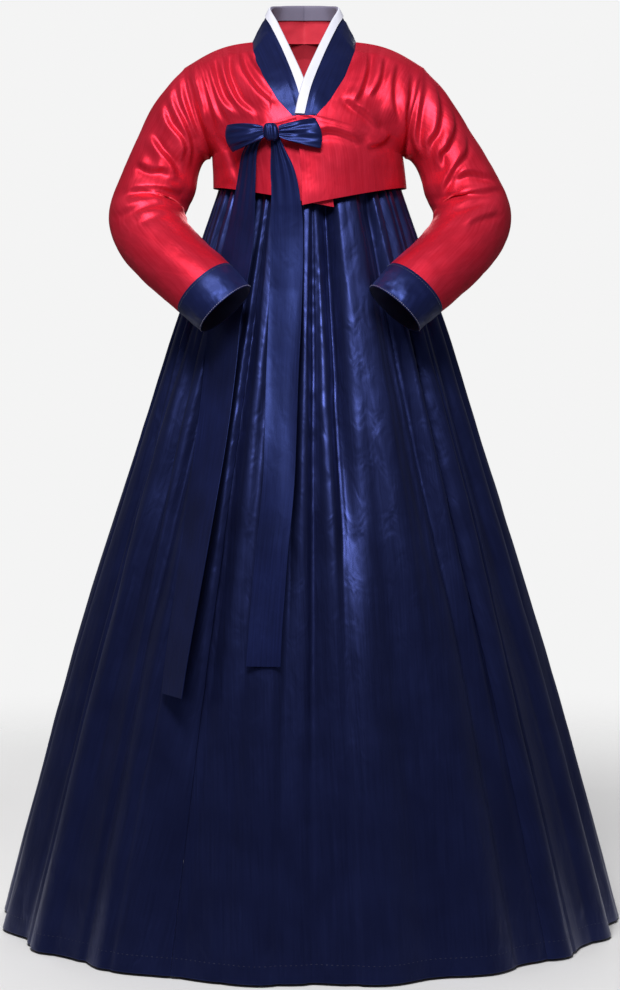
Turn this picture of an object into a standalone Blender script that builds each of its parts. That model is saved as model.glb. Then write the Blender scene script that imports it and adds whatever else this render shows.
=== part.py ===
# Korean hanbok: a short red jeogori over a full navy chima, held in its worn form.
# Metres, +Z up. The front faces -Y and +X is the wearer's left.
# Heights below are measured up from the hem, and every point is then lowered by NECK_HEIGHT,
# so that the origin is the middle of the neck's base, where the wearer's shoulders hold it.
import bpy
import bmesh
import math
import numpy as np

for old in list(bpy.data.objects):
    bpy.data.objects.remove(old, do_unlink=True)

# Driving sizes
NECK_HEIGHT = 1.365        # hem to the base of the neck
LEAN = 0.009               # the neck leans this far towards -X
LEAN_FROM, LEAN_TO = 1.13, 1.26
SEAM = 0.0004              # gap between sewn pieces
JACKET_WALL = 0.0015
SKIRT_WALL = 0.0020
BAND_WALL = 0.0020
RIBBON_WALL = 0.0015

ARMPIT = (0.148, 1.190)    # x and height
SHOULDER = (0.185, 1.325)
ARMHOLE_DEPTH = 0.056      # front and back of the armhole from its middle
SIDE_FLARE = 0.04          # the side seam leans out by this much per metre below the armpit
SHOULDER_RISE = 0.009      # the shoulder's ridge bows up by this much between neck and sleeve

PLEATS_A_PANEL = 8
PANELS = 5
FIRST_SEAM = -25.0         # degrees round the skirt from the front
WAVES = 18
WAVE_CREST = -12.0         # degrees

RED = (0.58, 0.014, 0.028, 1)
NAVY = (0.011, 0.018, 0.085, 1)
WHITE = (0.86, 0.86, 0.92, 1)

# One row a station of a front panel, from the hem up.
# side: metres below the armpit if negative, else the share of the armhole passed
# start: degrees round the body where the row leaves the side
# centre_y: where the row would reach the middle of the body
# edge_x, edge_h: the free front edge, then the neckline
FRONT = (
    (-0.050, 90, -0.1330, -0.012, 1.1070),
    (-0.025, 90, -0.1310, -0.012, 1.1500),
    (0.000, 90, -0.1295, -0.012, 1.1950),
    (0.120, 78, -0.1275, -0.012, 1.2405),
    (0.200, 68, -0.1265, 0.018, 1.2405),
    (0.350, 58, -0.1140, 0.040, 1.2660),
    (0.550, 52, -0.0860, 0.062, 1.3030),
    (0.780, 48, -0.0400, 0.0774, 1.3460),
    (1.000, 45, 0.0000, 0.0796, 1.3650),
)
UNDER_EDGE = ((-0.036, 1.1045), (-0.030, 1.150), (-0.022, 1.195))
UNDER_DROP = 0.0070        # the under front lies this far behind the outer one
BACK = (
    (-0.050, 90, 0.1180, 0.0002, 1.1430),
    (-0.025, 90, 0.1170, 0.0002, 1.1700),
    (0.000, 90, 0.1160, 0.0002, 1.2000),
    (0.150, 78, 0.1170, 0.0002, 1.2350),
    (0.300, 66, 0.1160, 0.0002, 1.2700),
    (0.500, 56, 0.1100, 0.0002, 1.3150),
    (0.720, 50, 0.0950, 0.0002, 1.3520),
    (0.880, 47, 0.0760, 0.0002, 1.3740),
    (0.950, 46, 0.0500, 0.0500, 1.3710),
    (1.000, 45, 0.0000, 0.0796, 1.3650),
)
PANEL_COLUMNS = 9

# The neckband's top edge beside FRONT rows 4 to 8, then BACK rows 8 and 7: x, y, height
TOP_FRONT = (
    (-0.012, -0.1265, 1.2418),
    (0.000, -0.1080, 1.2910),
    (0.020, -0.0640, 1.3420),
    (0.042, -0.0200, 1.3910),
    (0.0535, 0.0080, 1.4160),
)
TOP_BACK = ((0.037, 0.045, 1.424), (0.000, 0.062, 1.427))
DONGJEONG_OUT, DONGJEONG_IN = 0.012, 0.020
DONGJEONG_WALL, DONGJEONG_CLEAR = 0.0013, 0.0007
DONGJEONG_SHORT = 0.0015   # the strip ends this far above the band's ends

# One row a station of a sleeve: centre x, y, height, half width, half depth
SLEEVE = (
    (0.1665, 0.000, 1.2575, 0.0700, ARMHOLE_DEPTH),
    (0.2055, 0.000, 1.2095, 0.0530, 0.0560),
    (0.2350, -0.010, 1.1450, 0.0565, 0.0560),
    (0.2510, -0.036, 1.0880, 0.0580, 0.0560),
    (0.2160, -0.104, 1.0360, 0.0555, 0.0530),
    (0.1560, -0.172, 0.9820, 0.0525, 0.0510),
    (0.1240, -0.194, 0.9515, 0.0490, 0.0480),
)
MOUTH_FACING = (-0.66, -0.22, -0.72)   # the way the +X sleeve's mouth faces
SLEEVE_POINTS = 18
CUFF_FROM = 5.0
# The largest folds of a sleeve: station, degrees round it (0 outer, 90 front), spreads, height
SLEEVE_FOLDS = (
    (1.15, 90, 0.45, 26, 0.0040),
    (1.90, 150, 0.30, 34, 0.0045),
    (2.65, 120, 0.22, 40, 0.0055),
    (3.25, 135, 0.22, 36, 0.0050),
    (3.05, 45, 0.25, 30, 0.0040),
    (0.80, 300, 0.45, 28, 0.0040),
    (2.40, 250, 0.30, 34, 0.0045),
)

# One row a height of the skirt: height, half width, depth share, pleat depth, wave depth
SKIRT = (
    (1.205, 0.1340, 0.80, 0.0040, 0.000),
    (1.150, 0.1400, 0.79, 0.0060, 0.000),
    (1.107, 0.1530, 0.78, 0.0070, 0.000),
    (1.060, 0.1690, 0.755, 0.0085, 0.001),
    (0.980, 0.1950, 0.740, 0.0110, 0.003),
    (0.880, 0.2290, 0.745, 0.0120, 0.006),
    (0.760, 0.2685, 0.765, 0.0110, 0.009),
    (0.600, 0.3200, 0.79, 0.0090, 0.012),
    (0.400, 0.3810, 0.815, 0.0070, 0.014),
    (0.200, 0.4365, 0.835, 0.0050, 0.015),
    (0.000, 0.4900, 0.845, 0.0040, 0.015),
)
# One pleat: share of its width, share of its depth
PLEAT = ((0.0, 0.0), (0.30, 0.75), (0.72, 1.0), (0.86, 0.35))
WAISTBAND_TOP = 1.250

# Ribbon tails: x, height, width, turn in degrees. A turned ribbon lifts its +X edge.
LEFT_TAIL = (
    (-0.0460, 1.2140, 0.0100, 0),
    (-0.0435, 1.1900, 0.021, 0),
    (-0.0400, 1.1600, 0.036, 0),
    (-0.0365, 1.1200, 0.043, 0),
    (-0.0350, 1.0850, 0.048, 0),
    (-0.0350, 1.0200, 0.049, 4),
    (-0.0380, 0.9300, 0.049, 6),
    (-0.0415, 0.8480, 0.048, 8),
    (-0.0460, 0.7000, 0.047, 10),
    (-0.0565, 0.5900, 0.048, 8),
    (-0.0645, 0.4900, 0.049, 4),
    (-0.0675, 0.4360, 0.050, 0),
)
RIGHT_TAIL = (
    (-0.0570, 1.2140, 0.010, 0),
    (-0.0745, 1.2050, 0.016, 0),
    (-0.0880, 1.1840, 0.023, 0),
    (-0.0970, 1.1350, 0.030, 0),
    (-0.1030, 1.0850, 0.039, 0),
    (-0.1120, 1.0250, 0.047, 4),
    (-0.1265, 0.9500, 0.050, 8),
    (-0.1350, 0.8600, 0.050, 14),
    (-0.1470, 0.7565, 0.050, 22),
    (-0.1680, 0.6150, 0.050, 34),
    (-0.1925, 0.4570, 0.050, 46),
    (-0.2010, 0.3920, 0.050, 50),
)
TAIL_CLEAR = 0.0009

KNOT = (-0.0515, -0.1377, 1.2151)
KNOT_HALF = (0.0115, 0.0105, 0.0138)
# Bow loops: direction along x, reach, half height at knot and tip, drop, step back of the tip
LOOPS = (
    ("bow_loop_right", -1, 0.057, 0.009, 0.0200, 0.006, 0.022),
    ("bow_loop_left", 1, 0.061, 0.009, 0.0230, 0.001, -0.002),
)
LOOP_PINCH, LOOP_OPEN = 0.0020, 0.0085


def eased(x):
    """0 to 1 with soft ends."""
    x = min(max(x, 0.0), 1.0)
    return x * x * (3 - 2 * x)


def unit(v):
    v = np.asarray(v, float)
    return v / np.linalg.norm(v)


def straight(rows, at):
    """The table's row at a fractional station, on straight lines between rows."""
    i = min(int(at), len(rows) - 2)
    f = at - i
    return np.asarray(rows[i], float) * (1 - f) + np.asarray(rows[i + 1], float) * f


def smooth(rows, at):
    """The table's row at a fractional station, on a smooth curve through the rows."""
    last = len(rows) - 1
    i = min(int(at), last - 1)
    f = at - i
    a, b, c, d = (np.asarray(rows[min(max(k, 0), last)], float) for k in (i - 1, i, i + 1, i + 2))
    return 0.5 * (2 * b + (c - a) * f + (2 * a - 5 * b + 4 * c - d) * f * f
                  + (3 * b - a - 3 * c + d) * f ** 3)


def placed(p):
    """Leans a point with the neck and measures its height from the neck's base."""
    share = eased((p[2] - LEAN_FROM) / (LEAN_TO - LEAN_FROM))
    return (p[0] - LEAN * share, p[1], p[2] - NECK_HEIGHT)


def satin(name, colour, roughness):
    mat = bpy.data.materials.new(name)
    mat.use_nodes = True
    shader = mat.node_tree.nodes["Principled BSDF"]
    shader.inputs["Base Color"].default_value = colour
    shader.inputs["Roughness"].default_value = roughness
    shader.inputs["Metallic"].default_value = 0.0
    return mat


SATIN_RED = satin("red_satin", RED, 0.42)
SATIN_NAVY = satin("navy_satin", NAVY, 0.40)
COTTON_WHITE = satin("white_dongjeong", WHITE, 0.6)


def inner_points(outer, wall, ring=False, fixed=None):
    """Moves a grid of outer points inwards by the wall, along the grid's own normals.
    fixed gives the direction of a seam's points, by row and column."""
    rows, cols = outer.shape[:2]
    inner = np.zeros_like(outer)
    for r in range(rows):
        for c in range(cols):
            if fixed and (r, c) in fixed:
                inner[r, c] = outer[r, c] + unit(fixed[(r, c)]) * wall
                continue
            left, right = (c - 1, c + 1) if ring else (max(c - 1, 0), min(c + 1, cols - 1))
            across = outer[r, right % cols] - outer[r, left]
            along = outer[min(r + 1, rows - 1), c] - outer[max(r - 1, 0), c]
            inner[r, c] = outer[r, c] - unit(np.cross(across, along)) * wall
    return inner


def wall_object(name, outer, inner, material, ring=False):
    """One closed wall between two grids of points, open at its ends."""
    rows, cols = outer.shape[:2]
    mesh = bmesh.new()
    skins = [[[mesh.verts.new(placed(p)) for p in row] for row in grid] for grid in (outer, inner)]
    steps = cols if ring else cols - 1
    for r in range(rows - 1):
        for c in range(steps):
            d = (c + 1) % cols
            for skin in skins:
                mesh.faces.new((skin[r][c], skin[r][d], skin[r + 1][d], skin[r + 1][c]))
    out, inn = skins
    for c in range(steps):
        d = (c + 1) % cols
        for r in (0, rows - 1):
            mesh.faces.new((out[r][c], out[r][d], inn[r][d], inn[r][c]))
    if not ring:
        for r in range(rows - 1):
            for c in (0, cols - 1):
                mesh.faces.new((out[r][c], out[r + 1][c], inn[r + 1][c], inn[r][c]))
    return mesh_object(name, mesh, material)


def mesh_object(name, mesh, material):
    """Cuts each face along its shorter diagonal, so that walls that lie on each other match."""
    bmesh.ops.triangulate(mesh, faces=mesh.faces, quad_method="SHORT_EDGE")
    bmesh.ops.recalc_face_normals(mesh, faces=mesh.faces)
    if mesh.calc_volume(signed=True) < 0:
        bmesh.ops.reverse_faces(mesh, faces=mesh.faces)
    data = bpy.data.meshes.new(name)
    mesh.to_mesh(data)
    mesh.free()
    data.materials.append(material)
    data.shade_smooth()
    data.set_sharp_from_angle(angle=math.radians(40))
    obj = bpy.data.objects.new(name, data)
    bpy.context.scene.collection.objects.link(obj)
    return obj


# Jeogori fronts and backs

def side_point(side, sign):
    """The side seam below the armpit, and the armhole above it. sign is -1 at the front."""
    if side <= 0:
        return np.array((ARMPIT[0] - side * SIDE_FLARE, sign * SEAM / 2, ARMPIT[1] + side))
    lift = (1 - math.cos(math.pi * side)) / 2
    return np.array((
        ARMPIT[0] + (SHOULDER[0] - ARMPIT[0]) * lift,
        sign * max(ARMHOLE_DEPTH * math.sin(math.pi * side), SEAM / 2),
        ARMPIT[1] + (SHOULDER[1] - ARMPIT[1]) * lift,
    ))


def under_front_rows():
    rows = [list(row) for row in FRONT]
    for row, (x, h) in zip(rows, UNDER_EDGE):
        row[3], row[4] = x, h
    return rows


def tucked(p):
    """Drops the under front behind the outer one near the middle of the chest."""
    drop = UNDER_DROP * eased((0.065 - p[0]) / 0.045) * eased(-p[1] / 0.06)
    return p + np.array((0, drop, 0))


def bodice_row(rows, at, sign, columns):
    """One row of a panel's points, from the side to its edge, on the +X side."""
    side, start, centre_y = smooth(rows, at)[:3]
    if sign * centre_y < 0:
        centre_y = 0.0
    edge_x, edge_h = straight(rows, at)[3:5]
    origin = side_point(min(side, 1.0), sign)
    begin = math.radians(start)
    reach = origin[0] / math.sin(begin)
    end = math.asin(edge_x / reach)
    points = []
    for c in range(columns):
        angle = begin + (end - begin) * c / (columns - 1)
        x = reach * math.sin(angle)
        share = (math.cos(angle) - math.cos(begin)) / (1 - math.cos(begin))
        y = origin[1] + (sign * max(sign * centre_y, SEAM / 2) - origin[1]) * share
        lift = (origin[0] - x) / (origin[0] - edge_x)
        rise = SHOULDER_RISE * math.sin(math.pi * lift) * eased(side)
        points.append((x, y, origin[2] + (edge_h - origin[2]) * lift + rise))
    return points


def mirrored(grid, side):
    """The +X grid for the left of the wearer, its mirror image for the right."""
    return grid * np.array((side, 1, 1))


def bodice_panel(name, rows, sign, side, under=False):
    stations = np.arange(0, len(rows) - 0.75, 0.5)
    grid = np.array([bodice_row(rows, at, sign, PANEL_COLUMNS) for at in stations])
    if under:
        grid = np.array([[tucked(p) for p in row] for row in grid])
    fixed = {}
    ridge = (SHOULDER[1] - FRONT[-1][4], 0, FRONT[-1][3] - SHOULDER[0])
    for c in range(PANEL_COLUMNS):
        fixed[(len(stations) - 1, c)] = ridge
    for r, at in enumerate(stations):
        if smooth(rows, at)[0] <= 0:
            fixed[(r, 0)] = (-1, 0, 0)
        if sign > 0 and straight(rows, at)[3] < 0.001:
            fixed[(r, PANEL_COLUMNS - 1)] = (0, -1, 0)
    turned = grid if sign > 0 else grid[:, ::-1]
    if sign < 0:
        fixed = {(r, PANEL_COLUMNS - 1 - c): v for (r, c), v in fixed.items()}
    inner = inner_points(turned, JACKET_WALL, fixed=fixed)
    if sign < 0:
        inner = inner[:, ::-1]
    wall_object(name, mirrored(grid, side), mirrored(inner, side), SATIN_RED)
    return mirrored(grid, side), mirrored(inner, side)


# Neckband and the white strip over it

def neck_side(front, back, side, under):
    """Stations of half of the neckband: sewn edge, its inward direction, and top edge."""
    found = []
    for grids, tops, first in ((front, TOP_FRONT, 4), (back, TOP_BACK, 7)):
        outer, inner = grids
        seam = outer[:, -1]
        inward = inner[:, -1] - outer[:, -1]
        if grids is front:
            order = range(2 * first, len(seam))
            for r in order:
                top = smooth(TOP_FRONT + TOP_BACK, r / 2 - first)
                found.append((seam[r], inward[r], top))
        else:
            for r in range(len(seam) - 2, 2 * first - 1, -1):
                top = smooth(TOP_FRONT + TOP_BACK, len(TOP_FRONT) - 1 + (len(seam) - 1 - r) / 2)
                found.append((seam[r], inward[r], top))
    stations = []
    for seam, inward, top in found:
        top = tucked(top) if under else np.asarray(top)
        stations.append((seam, unit(inward), top * np.array((side, 1, 1))))
    return stations


def neckband(stations):
    """The band stands from its sewn edge to its top edge, and gives its frame at each station."""
    outer, inner, frames = [], [], []
    last = len(stations) - 1
    for r, (seam, inward, top) in enumerate(stations):
        across = seam - top
        start = seam - unit(across - inward * np.dot(across, inward)) * SEAM
        if r in (0, last):
            start[2] = top[2]
        along = stations[min(r + 1, last)][2] - stations[max(r - 1, 0)][2]
        out = unit(np.cross(along, across))
        out = out * math.copysign(1, np.dot(out, -inward))
        down = unit(across)
        row = [top + down * d for d in (0.0, DONGJEONG_OUT, DONGJEONG_IN)]
        outer.append([start] + row[::-1])
        inner.append([start + inward * BAND_WALL] + [p - out * BAND_WALL for p in row[::-1]])
        step_back = {0: 1, last: -1}.get(r, 0) * DONGJEONG_SHORT
        frames.append((top + unit(along) * step_back, down, out))
    wall_object("collar", np.array(outer), np.array(inner), SATIN_NAVY)
    return frames


def folded_strip(frames):
    """The white strip: a U-shaped section over the band's top edge, swept along it."""
    clear, wall = DONGJEONG_CLEAR, DONGJEONG_WALL
    far = BAND_WALL + clear
    section = (
        (DONGJEONG_OUT, clear + wall), (0.0, clear + wall), (-wall - clear, 0.0),
        (-wall - clear, -BAND_WALL), (0.0, -far - wall), (DONGJEONG_OUT, -far - wall),
        (DONGJEONG_IN, -far - wall), (DONGJEONG_IN, -far), (DONGJEONG_OUT, -far),
        (0.0, -far), (-clear, -BAND_WALL), (-clear, 0.0), (0.0, clear), (DONGJEONG_OUT, clear),
    )
    mesh = bmesh.new()
    rings = []
    for top, down, out in frames:
        rings.append([mesh.verts.new(placed(top + down * d + out * o)) for d, o in section])
    count = len(section)
    for a, b in zip(rings, rings[1:]):
        for i in range(count):
            j = (i + 1) % count
            mesh.faces.new((a[i], a[j], b[j], b[i]))
    half = count // 2
    for ring in (rings[0], rings[-1]):
        for i in range(half - 1):
            mesh.faces.new((ring[i], ring[i + 1], ring[count - 2 - i], ring[count - 1 - i]))
    mesh_object("dongjeong", mesh, COTTON_WHITE)


# Sleeves and cuffs

def sleeve_frames(stations):
    """Centre, outer direction, front direction and sizes at each station of the +X sleeve."""
    loop = np.array((SHOULDER[0] - ARMPIT[0], 0, SHOULDER[1] - ARMPIT[1]))
    outer = unit(loop)
    frames = []
    for at in stations:
        row = smooth(SLEEVE, at)
        ahead, behind = smooth(SLEEVE, min(at + 0.15, 6.0)), smooth(SLEEVE, max(at - 0.15, 0.0))
        tangent = unit(ahead[:3] - behind[:3])
        share = eased(at)
        tangent = unit(tangent * share + unit((loop[2], 0, -loop[0])) * (1 - share))
        share = eased((at - 3.6) / 2.0)
        tangent = unit(tangent * (1 - share) + unit(MOUTH_FACING) * share)
        outer = unit(outer - tangent * np.dot(outer, tangent))
        frames.append((row[:3], tangent, outer, np.cross(tangent, outer), row[3], row[4]))
    return frames


def sleeve_tube(name, side, first, last, material):
    count = int(round((last - first) / 0.33))
    stations = [first + (last - first) * i / count for i in range(count + 1)]
    every = [s for s in np.arange(0, first, 0.33)] + stations
    frames = sleeve_frames(every)[-len(stations):]
    grid = np.zeros((len(stations), SLEEVE_POINTS, 3))
    fixed = {}
    for r, (centre, tangent, outer, front, half, deep) in enumerate(frames):
        if r == 0:
            centre = centre + tangent * SEAM
        for c in range(SLEEVE_POINTS):
            angle = 2 * math.pi * c / SLEEVE_POINTS
            away = outer * math.cos(angle) * half + front * math.sin(angle) * deep
            grid[r, c] = centre + away * (1 + fold_height(stations[r], angle) / half)
            if r in (0, len(stations) - 1):
                fixed[(r, c)] = -away
    inner = inner_points(grid, JACKET_WALL, ring=True, fixed=fixed)
    wall_object(name, mirrored(grid, side), mirrored(inner, side), material, ring=True)


def fold_height(at, angle):
    """Height of the sleeve's folds, fading out at its seams."""
    total = 0.0
    for station, degrees, along, around, height in SLEEVE_FOLDS:
        turn = (math.degrees(angle) - degrees + 180) % 360 - 180
        total += height * math.exp(-((at - station) / along) ** 2 - (turn / around) ** 2)
    return total * eased(at / 0.5) * eased((CUFF_FROM - at) / 0.5)


# Skirt

def skirt_point(row, degrees, share):
    """A point of the skirt at a table row. share is 1 on a pleat's fold and 0 in its valley."""
    height, half, ratio, pleat, wave = row
    angle = math.radians(degrees)
    waves = (1 - math.cos(math.radians(degrees - WAVE_CREST) * WAVES)) / 2
    inset = pleat * (1 - share) + wave * waves
    return np.array(((half - inset) * math.sin(angle), -(half * ratio - inset) * math.cos(angle),
                     height))


def skirt_panel(number):
    """One gore: a wall of knife pleats, from its seam to the next one."""
    span = 360.0 / PANELS
    begin = FIRST_SEAM + number * span
    places = [(begin + (i + along) * span / PLEATS_A_PANEL, depth)
              for i in range(PLEATS_A_PANEL) for along, depth in PLEAT]
    places.append((begin + span, 0.0))
    grid = np.array([[skirt_point(row, a, d) for a, d in places] for row in SKIRT])
    fixed = {}
    for r in range(len(SKIRT)):
        for c, way in ((0, 1), (len(places) - 1, -1)):
            angle = math.radians(places[c][0])
            along = unit((math.cos(angle), math.sin(angle), 0))
            grid[r, c] = grid[r, c] + along * way * SEAM / 2
            fixed[(r, c)] = (-math.sin(angle), math.cos(angle), 0)
    inner = inner_points(grid[::-1], SKIRT_WALL,
                         fixed={(len(SKIRT) - 1 - r, c): v for (r, c), v in fixed.items()})[::-1]
    wall_object("skirt_panel_%d" % (number + 1), grid, inner, SATIN_NAVY)


def waistband():
    top_row = SKIRT[0]
    count = 40
    grid = []
    for height in (top_row[0] + SEAM, WAISTBAND_TOP):
        row = (height,) + top_row[1:3] + (0.0, 0.0)
        grid.append([skirt_point(row, 360.0 * i / count, 1.0) for i in range(count)])
    grid = np.array(grid)
    inner = inner_points(grid[::-1], SKIRT_WALL, ring=True)[::-1]
    wall_object("chima_waistband", grid, inner, SATIN_NAVY, ring=True)


# Ribbon tails and bow

def skirt_front(x, height):
    heights = [row[0] for row in reversed(SKIRT)]
    half = np.interp(height, heights, [row[1] for row in reversed(SKIRT)])
    ratio = np.interp(height, heights, [row[2] for row in reversed(SKIRT)])
    return half * ratio * math.sqrt(max(1 - (x / half) ** 2, 0.0))


def jacket_front(x, height):
    """How far the outer front stands forward, for a ribbon that lies or hangs from it."""
    share = min(max((height - FRONT[0][4]) / 0.10, 0.0), 1.0)
    depth = 0.1340 - 0.0030 * share
    return depth * math.sqrt(max(1 - (x / 0.150) ** 2, 0.0))


def support(x, height):
    return max(skirt_front(x, height), jacket_front(x, height)) + TAIL_CLEAR


def ribbon_tail(name, table):
    stations = np.arange(0, len(table) - 0.75, 0.5)
    outer = []
    for at in stations:
        x, height, width, turn = smooth(table, at)
        turn = math.radians(turn)
        row = []
        for across in (-0.5, 0.0, 0.5):
            px = x + across * width * math.cos(turn)
            lift = (across + 0.5) * width * math.sin(turn)
            row.append((px, -support(px, height) - RIBBON_WALL - lift, height))
        outer.append(row)
    outer = np.array(outer)
    inner = inner_points(outer[::-1], RIBBON_WALL)[::-1]
    wall_object(name, outer, inner, SATIN_NAVY)


def bow_loop(name, way, reach, low, high, drop, back):
    steps, lanes = 14, 4
    grid = np.zeros((steps + 1, lanes, 3))
    start = KNOT[0] + way * (KNOT_HALF[0] + SEAM)
    for r in range(steps + 1):
        turn = math.pi * r / steps
        out = math.sin(turn)
        gap = math.cos(turn) * (LOOP_PINCH + (LOOP_OPEN - LOOP_PINCH) * out)
        half = low + (high - low) * out ** 0.8
        for c in range(lanes):
            z = KNOT[2] - drop * out + half * (2 * c / (lanes - 1) - 1)
            grid[r, c] = (start + way * reach * out, KNOT[1] + back * out * out + gap, z)
    inner = inner_points(grid if way < 0 else grid[:, ::-1], RIBBON_WALL)
    if way > 0:
        inner = inner[:, ::-1]
    wall_object(name, grid, inner, SATIN_NAVY)


def bow_knot():
    """A rounded lump of wrapped ribbon."""
    mesh = bmesh.new()
    bmesh.ops.create_uvsphere(mesh, u_segments=14, v_segments=8, radius=1.0)
    for vert in mesh.verts:
        p = [math.copysign(abs(v) ** 0.6, v) for v in vert.co]
        vert.co = placed([KNOT[i] + p[i] * KNOT_HALF[i] for i in range(3)])
    mesh_object("bow_knot", mesh, SATIN_NAVY)


left_front = bodice_panel("jeogori_front_left", FRONT, -1, 1)
right_front = bodice_panel("jeogori_front_right", under_front_rows(), -1, -1, under=True)
left_back = bodice_panel("jeogori_back_left", BACK, 1, 1)
right_back = bodice_panel("jeogori_back_right", BACK, 1, -1)
left_neck = neck_side(left_front, left_back, 1, False)
right_neck = neck_side(right_front, right_back, -1, True)
folded_strip(neckband(left_neck + right_neck[-2::-1]))
for label, hand in (("left", 1), ("right", -1)):
    sleeve_tube("sleeve_" + label, hand, 0.0, CUFF_FROM, SATIN_RED)
    sleeve_tube("cuff_" + label, hand, CUFF_FROM, 6.0, SATIN_NAVY)
for panel in range(PANELS):
    skirt_panel(panel)
waistband()
ribbon_tail("ribbon_tail_left", LEFT_TAIL)
ribbon_tail("ribbon_tail_right", RIGHT_TAIL)
for loop in LOOPS:
    bow_loop(*loop)
bow_knot()
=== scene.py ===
# %% [markdown]
# # Korean hanbok
# A hanbok is two garments: the jeogori, a short jacket, and the chima, a full skirt that hangs
# from a band high on the chest. This lesson sews both from grids of points, each piece as a thin
# shell that lies on the CAD model's form, then gives them satin, creases and stitches.
# We load the CAD model first, because it fixes every size and place. Lengths are metres, +Z is
# up and the front faces -Y. The origin is the middle of the neck's base.

# %% Load the frame
import math

import bmesh
import bpy
import numpy as np
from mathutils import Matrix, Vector, noise


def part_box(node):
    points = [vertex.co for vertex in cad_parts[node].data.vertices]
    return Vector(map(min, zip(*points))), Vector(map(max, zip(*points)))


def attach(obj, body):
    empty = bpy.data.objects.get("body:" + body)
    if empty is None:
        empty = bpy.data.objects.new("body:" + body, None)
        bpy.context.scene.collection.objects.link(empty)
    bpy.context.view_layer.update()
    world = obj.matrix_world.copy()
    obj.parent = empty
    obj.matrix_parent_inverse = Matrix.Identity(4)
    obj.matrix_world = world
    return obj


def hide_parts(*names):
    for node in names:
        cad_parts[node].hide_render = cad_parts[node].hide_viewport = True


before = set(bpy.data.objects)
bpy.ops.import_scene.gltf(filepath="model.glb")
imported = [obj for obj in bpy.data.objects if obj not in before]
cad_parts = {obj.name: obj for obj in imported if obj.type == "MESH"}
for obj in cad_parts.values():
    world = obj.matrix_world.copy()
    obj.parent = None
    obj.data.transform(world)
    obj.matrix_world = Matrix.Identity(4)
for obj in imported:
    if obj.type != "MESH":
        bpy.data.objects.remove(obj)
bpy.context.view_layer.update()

# %% [markdown]
# ## Sizes and curves
# The cutting tables below are the CAD model's own: a few stations for each piece, joined by
# smooth curves. A heavy mesh could be sculpted by hand instead, but a table keeps the looks on
# the CAD's form and lets us sample it as finely as the creases need. The CAD keeps 0.4 mm
# between its solids, and sewn pieces touch here.
# Heights are measured from the hem, and one function at the end lowers them to the origin.

# %% Driving sizes
NECK_HEIGHT = 1.365
LEAN, LEAN_FROM, LEAN_TO = 0.009, 1.13, 1.26   # the neck sits this far towards wearer's right
JACKET_WALL, SKIRT_WALL, BAND_WALL, RIBBON_WALL = 0.0015, 0.0020, 0.0020, 0.0015
ARMPIT, SHOULDER, ARMHOLE_DEPTH = (0.148, 1.190), (0.185, 1.325), 0.056
SIDE_FLARE, SHOULDER_RISE = 0.04, 0.009
BORDER = 0.06                                  # share of the first cell, for bordered()


def eased(x):
    """0 to 1 with soft ends."""
    x = np.clip(x, 0.0, 1.0)
    return x * x * (3 - 2 * x)


def unit(v):
    """Vectors scaled to a length of 1."""
    v = np.asarray(v, float)
    return v / np.maximum(np.linalg.norm(v, axis=-1, keepdims=True), 1e-12)


def straight(rows, at):
    """The table's row at a fractional station, on straight lines between rows."""
    i = min(int(at), len(rows) - 2)
    return np.asarray(rows[i], float) * (1 - at + i) + np.asarray(rows[i + 1], float) * (at - i)


def smooth(rows, at):
    """The table's row at a fractional station, on a smooth curve through the rows."""
    last = len(rows) - 1
    i = min(int(at), last - 1)
    f = at - i
    a, b, c, d = (np.asarray(rows[min(max(k, 0), last)], float) for k in (i - 1, i, i + 1, i + 2))
    return 0.5 * (2 * b + (c - a) * f + (2 * a - 5 * b + 4 * c - d) * f * f
                  + (3 * b - a - 3 * c + d) * f ** 3)


def placed(points):
    """Leans points with the neck and measures their heights from the neck's base."""
    points = np.array(points, float)
    points[..., 0] -= LEAN * eased((points[..., 2] - LEAN_FROM) / (LEAN_TO - LEAN_FROM))
    points[..., 2] -= NECK_HEIGHT
    return points


print("neck height", NECK_HEIGHT, "m above the hem")

# %% [markdown]
# ## A grid becomes cloth
# Woven cloth is a sheet with a warp and a weft, so each piece starts as a grid whose rows run
# across it and whose columns run along it. We store the true distance along both as the UV map,
# in metres, so that a weave has one size on every piece. Solidify then gives the sheet its
# thickness, inwards, with the lining as a second material.

# %% Grid tools
def outward(grid, inside, closed=False):
    """Unit normals of a grid that point away from the points given as inside."""
    if closed:
        across = np.roll(grid, -1, axis=1) - np.roll(grid, 1, axis=1)
    else:
        across = np.gradient(grid, axis=1)
    normals = unit(np.cross(across, np.gradient(grid, axis=0)))
    return normals * math.copysign(1, np.sum(normals * (grid - inside)))


def around_axis(grid):
    """The points on the body's upright axis beside each point of a grid."""
    return grid * np.array((0.0, 0.0, 1.0))


def metres_along(grid, closed):
    """Distances across and along a grid, for its UV map."""
    wide = np.concatenate([grid, grid[:, :1]], axis=1) if closed else grid
    across = np.linalg.norm(np.diff(wide, axis=1), axis=2)
    along = np.linalg.norm(np.diff(wide, axis=0), axis=2)
    u = np.concatenate([np.zeros((len(wide), 1)), np.cumsum(across, axis=1)], axis=1)
    v = np.concatenate([np.zeros((1, wide.shape[1])), np.cumsum(along, axis=0)], axis=0)
    return u - u.mean(axis=1, keepdims=True), v


def bordered(grid, closed):
    """Adds a line of points close inside each open edge, so that shading stays even up to it."""
    for axis in (0,) if closed else (0, 1):
        ends = np.take(grid, (0, -1), axis=axis)
        near = ends + (np.take(grid, (1, -2), axis=axis) - ends) * BORDER
        first, last = np.split(near, 2, axis=axis)
        grid = np.insert(grid, 1, np.squeeze(first, axis), axis=axis)
        grid = np.insert(grid, -1, np.squeeze(last, axis), axis=axis)
    return grid


def added(name, data):
    """A new object in the scene, for a mesh, a light or a camera."""
    item = bpy.data.objects.new(name, data)
    bpy.context.scene.collection.objects.link(item)
    return item


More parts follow.
